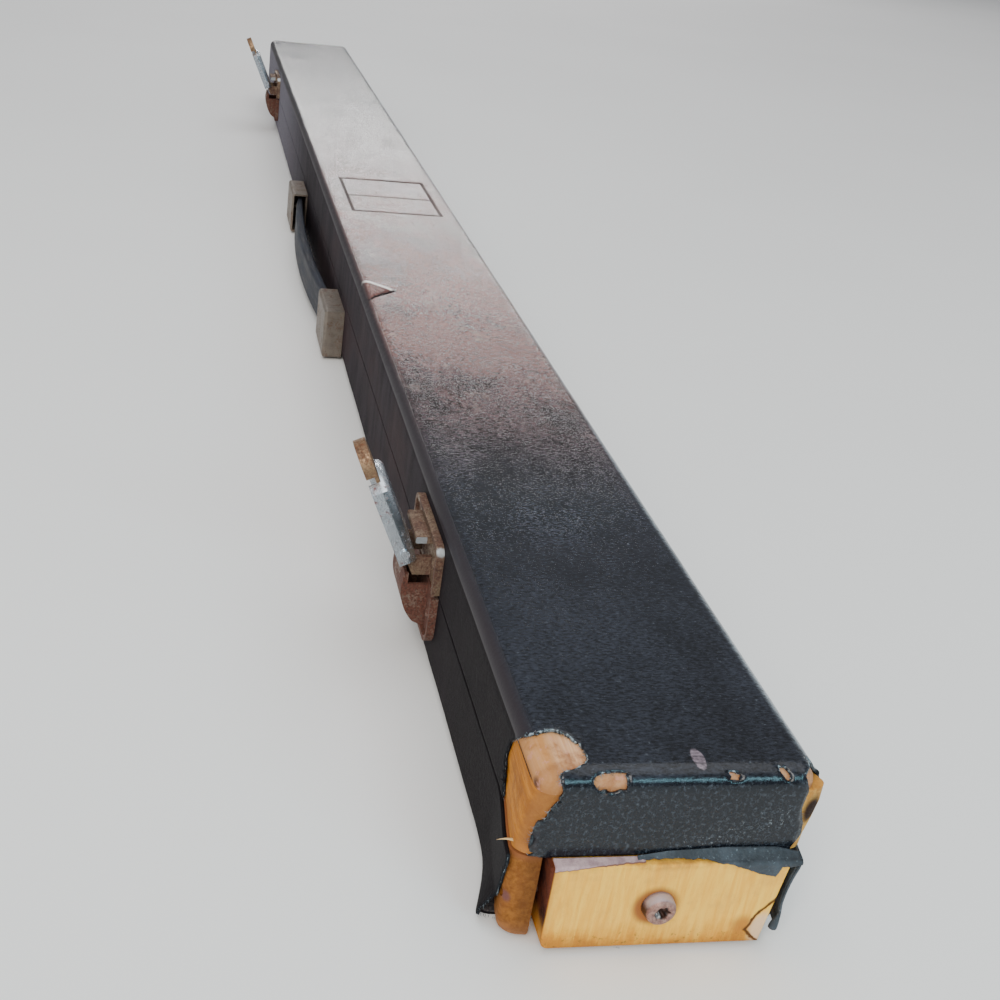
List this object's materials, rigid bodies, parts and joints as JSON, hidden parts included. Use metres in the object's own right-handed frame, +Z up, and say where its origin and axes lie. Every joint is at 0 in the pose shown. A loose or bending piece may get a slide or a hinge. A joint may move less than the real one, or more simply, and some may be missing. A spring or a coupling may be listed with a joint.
{
  "type": "two-piece cue case",
  "caption": "Long slim hinged wooden case covered in leathercloth, with snap latches, a strap handle and felt cradles for a cue in two halves.",
  "frame": {"origin": "middle of the case's underside, on the surface it rests on", "axes": "+X along the case towards the end with the worn corner and the end screw, -Y towards the latches and the handle, +Z up"},
  "size_m": [0.8448, 0.0832, 0.0583],
  "materials": {
    "leathercloth": "grained leathercloth, satin, scuffed",
    "case_wood": "bare pale hardwood, stained near its edges",
    "lining_felt": "felt",
    "rusted_latch_steel": "plating worn through to rust",
    "nickel_plate": "dulled nickel with rust pits",
    "spring_steel": "dark spring steel",
    "cap_steel": "dull plated steel with rust spots",
    "handle_strap": "satin moulded strap",
    "hinge_steel": "dull plated steel",
    "fastener_steel": "rusty steel"
  },
  "bodies": {
    "tray": {"butt_stop_block": "case_wood", "cue_cradle_far": "lining_felt", "cue_cradle_middle": "lining_felt", "cue_cradle_near": "lining_felt", "end_screw": "fastener_steel", "handle_cap_far": "cap_steel", "handle_cap_near": "cap_steel", "handle_plate_far": "cap_steel", "handle_plate_near": "cap_steel", "handle_rivets": "cap_steel", "handle_studs": "cap_steel", "hinge_pins": "hinge_steel", "hinge_tray_leaves": "hinge_steel", "hinge_tray_rivets": "hinge_steel", "latch_tray_bracket_far": "rusted_latch_steel", "latch_tray_bracket_near": "rusted_latch_steel", "latch_tray_rivets": "rusted_latch_steel", "tray_back_board": "case_wood", "tray_bottom_board": "case_wood", "tray_corner_nails": "fastener_steel", "tray_covering": "leathercloth", "tray_far_end_board": "case_wood", "tray_front_board": "case_wood", "tray_lining": "lining_felt", "tray_near_end_board": "case_wood"},
    "lid": {"hinge_lid_leaves": "hinge_steel", "hinge_lid_rivets": "hinge_steel", "latch_lid_bracket_far": "rusted_latch_steel", "latch_lid_bracket_near": "rusted_latch_steel", "latch_lid_rivets": "rusted_latch_steel", "latch_pin_far": "rusted_latch_steel", "latch_pin_near": "rusted_latch_steel", "lid_back_board": "case_wood", "lid_covering": "leathercloth", "lid_far_end_board": "case_wood", "lid_front_board": "case_wood", "lid_lining": "lining_felt", "lid_near_end_board": "case_wood", "lid_pad": "lining_felt", "lid_top_board": "case_wood"},
    "hasp_near": {"latch_hasp_near": "rusted_latch_steel", "latch_cover_near": "nickel_plate", "latch_spring_near": "spring_steel"},
    "hasp_far": {"latch_hasp_far": "rusted_latch_steel", "latch_cover_far": "nickel_plate", "latch_spring_far": "spring_steel"},
    "strap": {"handle_grip": "handle_strap", "handle_core": "spring_steel"}
  },
  "joints": [
    {"name": "lid_swing", "type": "hinge", "parent": "tray", "child": "lid", "pos_m": [0, 0.0304, 0.023], "axis": [-1, 0, 0], "range_deg": [0, 105]},
    {"name": "latch_near_swing", "type": "hinge", "parent": "lid", "child": "hasp_near", "pos_m": [0.3116, -0.0369, 0.0313], "axis": [1, 0, 0], "range_deg": [0, 155.5], "stiffness_Nm_per_rad": 0.004, "springref_deg": -34.38},
    {"name": "latch_far_swing", "type": "hinge", "parent": "lid", "child": "hasp_far", "pos_m": [-0.3116, -0.0369, 0.0313], "axis": [1, 0, 0], "range_deg": [0, 155.5], "stiffness_Nm_per_rad": 0.004, "springref_deg": -34.38},
    {"name": "strap_pull", "type": "slide", "parent": "tray", "child": "strap", "axis": [0, -1, 0], "range_m": [0, 0.0012], "stiffness_N_per_m": 300, "springref_m": -0.001}
  ]
}
